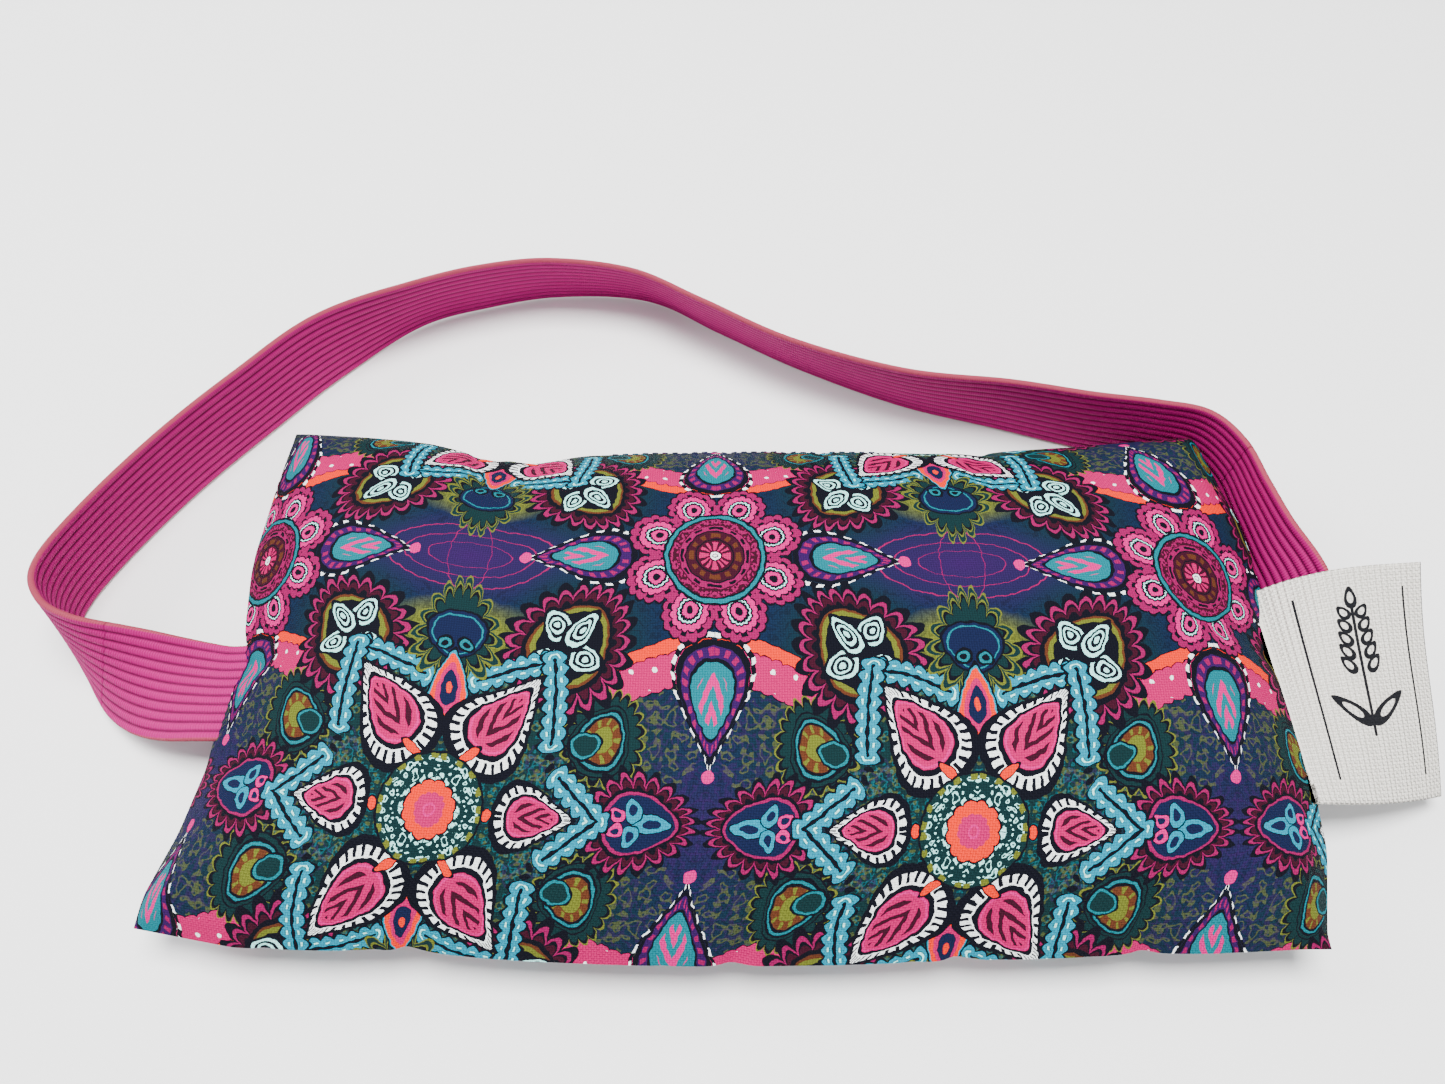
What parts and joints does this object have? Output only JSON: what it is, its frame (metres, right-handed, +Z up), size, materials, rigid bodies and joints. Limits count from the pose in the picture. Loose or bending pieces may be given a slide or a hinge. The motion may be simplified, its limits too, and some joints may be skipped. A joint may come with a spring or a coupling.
{
  "type": "eye pillow",
  "caption": "Weighted eye pillow: printed cotton cover over a seed-filled inner bag, with an elastic head strap and a woven side label.",
  "frame": {"origin": "centre of the underside's flat rest face, on the table", "axes": "+X along the pillow to the side seam with the label, +Y to the long edge that the strap lies behind, +Z up through the crown"},
  "size_m": [0.2713, 0.1665, 0.024],
  "materials": {
    "printed_cotton": "matt woven cotton with a mandala and paisley print",
    "calico": "plain unbleached weave",
    "flax_seed": "loose glossy seed",
    "lavender": "dried buds",
    "elastic_webbing": "ribbed satin elastic",
    "cotton_tape": "ribbed natural cotton tape",
    "navy_thread": "sewing thread",
    "cotton_thread": "sewing thread"
  },
  "bodies": {
    "pillow": {"cover_front": "printed_cotton", "cover_back": "printed_cotton", "cover_seam_stitching": "navy_thread", "closing_stitches": "navy_thread", "inner_bag_front": "calico", "inner_bag_back": "calico", "inner_bag_stitching": "cotton_thread", "flax_seed_fill": "flax_seed", "lavender_buds": "lavender", "strap_end_left": "elastic_webbing", "strap_end_right": "elastic_webbing", "strap_tack_left": "navy_thread", "strap_tack_right": "navy_thread", "label_sewn_edge": "cotton_tape", "label_stitching": "cotton_thread"},
    "strap": {"elastic_strap": "elastic_webbing"},
    "label": {"side_label": "cotton_tape"}
  },
  "joints": [
    {"name": "strap_swing", "type": "hinge", "parent": "pillow", "child": "strap", "pos_m": [0, -0.006, 0.01], "axis": [1, 0, 0], "range_deg": [0, 180]},
    {"name": "label_flap", "type": "hinge", "parent": "pillow", "child": "label", "pos_m": [0.103, -0.0064, 0.0112], "axis": [0, -1, 0], "range_deg": [0, 110]}
  ]
}
